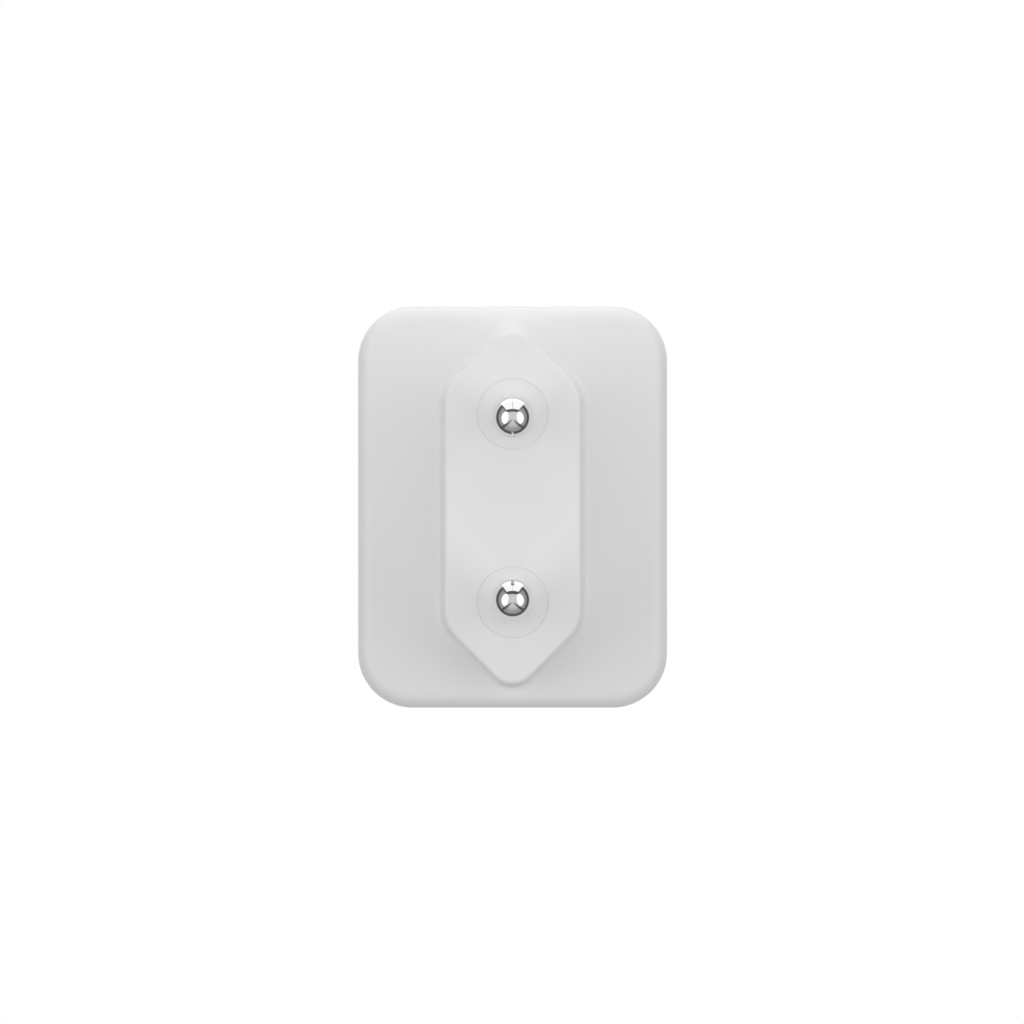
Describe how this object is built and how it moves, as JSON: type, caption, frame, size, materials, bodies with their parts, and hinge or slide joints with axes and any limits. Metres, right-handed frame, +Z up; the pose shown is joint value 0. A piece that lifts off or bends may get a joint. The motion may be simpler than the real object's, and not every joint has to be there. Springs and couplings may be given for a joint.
{
  "type": "plug-in power adapter",
  "caption": "Small plug-in mains power adapter: satin white block, hexagonal Europlug neck with round pins, USB-C outlet in the face opposite.",
  "frame": {"origin": "centre of the plug's engagement face, on the axis midway between the pins", "axes": "+Y from the engagement face into the body, so the pins point to -Y; +Z up along the line through the two pins; +X right when looking at the pins"},
  "size_m": [0.0312, 0.079, 0.0406],
  "materials": {
    "housing_plastic": "satin white polycarbonate, very fine even grain",
    "sleeve_plastic": "satin white insulating moulding",
    "pin_metal": "bright nickel plate on brass",
    "strip_brass": "bare stamped brass",
    "board_laminate": "green solder mask on glass-epoxy laminate",
    "fuse_ceramic": "white ceramic tube with plated caps",
    "varistor_coating": "blue epoxy dip",
    "disc_coating": "blue epoxy dip",
    "capacitor_case": "yellow moulded case",
    "ferrite": "dark grey sintered ferrite",
    "copper_wire": "enamelled copper wire",
    "bobbin_plastic": "black moulded phenolic",
    "winding_tape": "yellow polyester tape over enamelled wire",
    "port_steel": "drawn stainless steel",
    "port_plastic": "black liquid-crystal polymer",
    "contact_gold": "gold flash on copper alloy",
    "chip_resin": "black epoxy moulding compound",
    "spreader_aluminium": "plain rolled sheet",
    "insulation_film": "amber polyimide film",
    "pad_silicone": "grey filled silicone",
    "bulk_can": "aluminium can in a black shrink sleeve",
    "polymer_can": "bare aluminium can"
  },
  "bodies": {
    "root": {"plug_cover": "housing_plastic", "main_shell": "housing_plastic", "pin_upper": "pin_metal", "pin_lower": "pin_metal", "pin_sleeve_upper": "sleeve_plastic", "pin_sleeve_lower": "sleeve_plastic", "contact_strip_upper": "strip_brass", "contact_strip_lower": "strip_brass", "main_board": "board_laminate", "usb_board": "board_laminate", "fuse": "fuse_ceramic", "varistor": "varistor_coating", "x_capacitor": "capacitor_case", "choke_core": "ferrite", "choke_winding_a": "copper_wire", "choke_winding_b": "copper_wire", "choke_base": "bobbin_plastic", "filter_inductor": "ferrite", "y_capacitor": "disc_coating", "transformer_core_lower": "ferrite", "transformer_core_upper": "ferrite", "transformer_bobbin": "bobbin_plastic", "transformer_winding": "winding_tape", "usb_c_shell": "port_steel", "usb_c_insulator": "port_plastic", "usb_c_contacts": "contact_gold", "pd_controller": "chip_resin", "bridge_rectifier": "chip_resin", "primary_controller": "chip_resin", "sync_rectifier": "chip_resin", "optocoupler": "chip_resin", "heat_spreader": "spreader_aluminium", "insulation_sheet": "insulation_film", "isolation_barrier": "insulation_film", "thermal_pad": "pad_silicone", "bulk_capacitor_a": "bulk_can", "bulk_capacitor_b": "bulk_can", "output_capacitor_a": "polymer_can", "output_capacitor_b": "polymer_can"}
  },
  "joints": []
}
